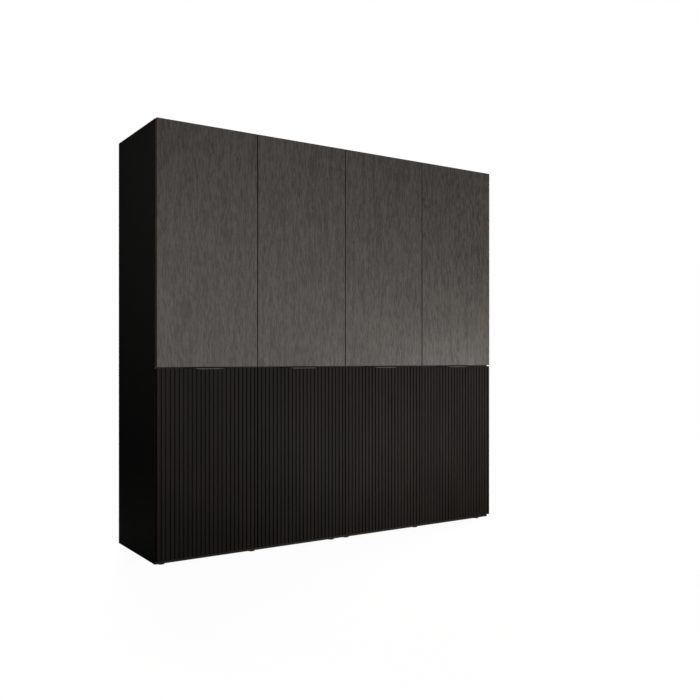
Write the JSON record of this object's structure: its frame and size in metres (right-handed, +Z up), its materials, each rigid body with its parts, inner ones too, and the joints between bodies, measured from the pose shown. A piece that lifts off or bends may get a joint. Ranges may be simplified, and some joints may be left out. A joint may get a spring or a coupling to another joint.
{
  "type": "wardrobe with doors",
  "caption": "Free-standing wardrobe of joined cabinets with plain grained upper doors over fluted black lower doors, lip pulls, concealed hinges, shelves and hanging rails.",
  "frame": {"origin": "on the floor, under the middle of the width and of the depth with the handle lips", "axes": "+Z up; -Y out of the doors; +Y towards the wall; +X to the right as seen facing the doors"},
  "size_m": [2, 0.544, 2],
  "materials": {
    "grained_front": "dark grey brushed wood grain, satin",
    "fluted_front": "black satin lacquer on fluted board",
    "black_board": "black melamine with a fine grain",
    "back_board": "thin black board, matt",
    "dark_metal": "dark anodised, satin",
    "hinge_steel": "nickel plated",
    "rail_metal": "black powder coat",
    "black_plastic": "moulded",
    "clear_rubber": "soft pads"
  },
  "bodies": {
    "root": {"left_outer_side": "black_board", "left_inner_side": "black_board", "left_top": "black_board", "left_bottom": "black_board", "left_partition": "black_board", "left_back": "back_board", "left_hanging_rail": "rail_metal", "right_outer_side": "black_board", "right_inner_side": "black_board", "right_top": "black_board", "right_bottom": "black_board", "right_partition": "black_board", "right_back": "back_board", "right_hanging_rail": "rail_metal", "fixed_shelves": "black_board", "adjustable_shelves": "black_board", "shelf_pins": "hinge_steel", "rail_sockets": "rail_metal", "feet": "black_plastic", "wall_brackets": "hinge_steel", "joining_bolts": "hinge_steel", "door_bumpers": "clear_rubber", "latch_housings": "black_plastic", "hinge_arms": "hinge_steel", "hinge_plates": "hinge_steel", "plate_screws": "hinge_steel"},
    "upper_door_1_body": {"upper_door_1": "grained_front", "upper_cups_1": "hinge_steel"},
    "upper_links_1_body": {"upper_links_1": "hinge_steel"},
    "lower_door_1_body": {"lower_door_1": "fluted_front", "lower_cups_1": "hinge_steel", "handle_1": "dark_metal"},
    "lower_links_1_body": {"lower_links_1": "hinge_steel"},
    "latch_plunger_1_body": {"latch_plunger_1": "black_plastic"},
    "upper_door_2_body": {"upper_door_2": "grained_front", "upper_cups_2": "hinge_steel"},
    "upper_links_2_body": {"upper_links_2": "hinge_steel"},
    "lower_door_2_body": {"lower_door_2": "fluted_front", "lower_cups_2": "hinge_steel", "handle_2": "dark_metal"},
    "lower_links_2_body": {"lower_links_2": "hinge_steel"},
    "latch_plunger_2_body": {"latch_plunger_2": "black_plastic"},
    "upper_door_3_body": {"upper_door_3": "grained_front", "upper_cups_3": "hinge_steel"},
    "upper_links_3_body": {"upper_links_3": "hinge_steel"},
    "lower_door_3_body": {"lower_door_3": "fluted_front", "lower_cups_3": "hinge_steel", "handle_3": "dark_metal"},
    "lower_links_3_body": {"lower_links_3": "hinge_steel"},
    "latch_plunger_3_body": {"latch_plunger_3": "black_plastic"},
    "upper_door_4_body": {"upper_door_4": "grained_front", "upper_cups_4": "hinge_steel"},
    "upper_links_4_body": {"upper_links_4": "hinge_steel"},
    "lower_door_4_body": {"lower_door_4": "fluted_front", "lower_cups_4": "hinge_steel", "handle_4": "dark_metal"},
    "lower_links_4_body": {"lower_links_4": "hinge_steel"},
    "latch_plunger_4_body": {"latch_plunger_4": "black_plastic"}
  },
  "joints": [
    {"name": "upper_door_1_swing", "type": "hinge", "parent": "root", "child": "upper_door_1_body", "pos_m": [-0.991, -0.255, 1.446], "axis": [0, 0, -1], "range_deg": [0, 100]},
    {"name": "upper_links_1_turn", "type": "hinge", "parent": "upper_door_1_body", "child": "upper_links_1_body", "pos_m": [-0.9902, -0.244, 1.446], "axis": [0, 0, 1], "range_deg": [0, 137]},
    {"name": "lower_door_1_swing", "type": "hinge", "parent": "root", "child": "lower_door_1_body", "pos_m": [-0.991, -0.255, 0.4575], "axis": [0, 0, -1], "range_deg": [0, 100]},
    {"name": "lower_links_1_turn", "type": "hinge", "parent": "lower_door_1_body", "child": "lower_links_1_body", "pos_m": [-0.9902, -0.244, 0.4575], "axis": [0, 0, 1], "range_deg": [0, 137]},
    {"name": "latch_plunger_1_slide", "type": "slide", "parent": "root", "child": "latch_plunger_1_body", "axis": [0, -1, 0], "range_m": [0, 0.012]},
    {"name": "upper_door_2_swing", "type": "hinge", "parent": "root", "child": "upper_door_2_body", "pos_m": [-0.009, -0.255, 1.446], "axis": [0, 0, 1], "range_deg": [0, 90]},
    {"name": "upper_links_2_turn", "type": "hinge", "parent": "upper_door_2_body", "child": "upper_links_2_body", "pos_m": [-0.0098, -0.244, 1.446], "axis": [0, 0, -1], "range_deg": [0, 123]},
    {"name": "lower_door_2_swing", "type": "hinge", "parent": "root", "child": "lower_door_2_body", "pos_m": [-0.009, -0.255, 0.4575], "axis": [0, 0, 1], "range_deg": [0, 85]},
    {"name": "lower_links_2_turn", "type": "hinge", "parent": "lower_door_2_body", "child": "lower_links_2_body", "pos_m": [-0.0098, -0.244, 0.4575], "axis": [0, 0, -1], "range_deg": [0, 117]},
    {"name": "latch_plunger_2_slide", "type": "slide", "parent": "root", "child": "latch_plunger_2_body", "axis": [0, -1, 0], "range_m": [0, 0.012]},
    {"name": "upper_door_3_swing", "type": "hinge", "parent": "root", "child": "upper_door_3_body", "pos_m": [0.009, -0.255, 1.446], "axis": [0, 0, -1], "range_deg": [0, 90]},
    {"name": "upper_links_3_turn", "type": "hinge", "parent": "upper_door_3_body", "child": "upper_links_3_body", "pos_m": [0.0098, -0.244, 1.446], "axis": [0, 0, 1], "range_deg": [0, 123]},
    {"name": "lower_door_3_swing", "type": "hinge", "parent": "root", "child": "lower_door_3_body", "pos_m": [0.009, -0.255, 0.4575], "axis": [0, 0, -1], "range_deg": [0, 85]},
    {"name": "lower_links_3_turn", "type": "hinge", "parent": "lower_door_3_body", "child": "lower_links_3_body", "pos_m": [0.0098, -0.244, 0.4575], "axis": [0, 0, 1], "range_deg": [0, 117]},
    {"name": "latch_plunger_3_slide", "type": "slide", "parent": "root", "child": "latch_plunger_3_body", "axis": [0, -1, 0], "range_m": [0, 0.012]},
    {"name": "upper_door_4_swing", "type": "hinge", "parent": "root", "child": "upper_door_4_body", "pos_m": [0.991, -0.255, 1.446], "axis": [0, 0, 1], "range_deg": [0, 100]},
    {"name": "upper_links_4_turn", "type": "hinge", "parent": "upper_door_4_body", "child": "upper_links_4_body", "pos_m": [0.9902, -0.244, 1.446], "axis": [0, 0, -1], "range_deg": [0, 137]},
    {"name": "lower_door_4_swing", "type": "hinge", "parent": "root", "child": "lower_door_4_body", "pos_m": [0.991, -0.255, 0.4575], "axis": [0, 0, 1], "range_deg": [0, 100]},
    {"name": "lower_links_4_turn", "type": "hinge", "parent": "lower_door_4_body", "child": "lower_links_4_body", "pos_m": [0.9902, -0.244, 0.4575], "axis": [0, 0, -1], "range_deg": [0, 137]},
    {"name": "latch_plunger_4_slide", "type": "slide", "parent": "root", "child": "latch_plunger_4_body", "axis": [0, -1, 0], "range_m": [0, 0.012]}
  ],
  "couplings": [
    {"joint": "upper_links_1_turn", "follows": "upper_door_1_swing", "ratio": 1.3666},
    {"joint": "lower_links_1_turn", "follows": "lower_door_1_swing", "ratio": 1.3666},
    {"joint": "latch_plunger_1_slide", "follows": "upper_door_1_swing", "m_per_rad": 0.00573},
    {"joint": "upper_links_2_turn", "follows": "upper_door_2_swing", "ratio": 1.3666},
    {"joint": "lower_links_2_turn", "follows": "lower_door_2_swing", "ratio": 1.3666},
    {"joint": "latch_plunger_2_slide", "follows": "upper_door_2_swing", "m_per_rad": 0.006366},
    {"joint": "upper_links_3_turn", "follows": "upper_door_3_swing", "ratio": 1.3666},
    {"joint": "lower_links_3_turn", "follows": "lower_door_3_swing", "ratio": 1.3666},
    {"joint": "latch_plunger_3_slide", "follows": "upper_door_3_swing", "m_per_rad": 0.006366},
    {"joint": "upper_links_4_turn", "follows": "upper_door_4_swing", "ratio": 1.3666},
    {"joint": "lower_links_4_turn", "follows": "lower_door_4_swing", "ratio": 1.3666},
    {"joint": "latch_plunger_4_slide", "follows": "upper_door_4_swing", "m_per_rad": 0.00573}
  ]
}
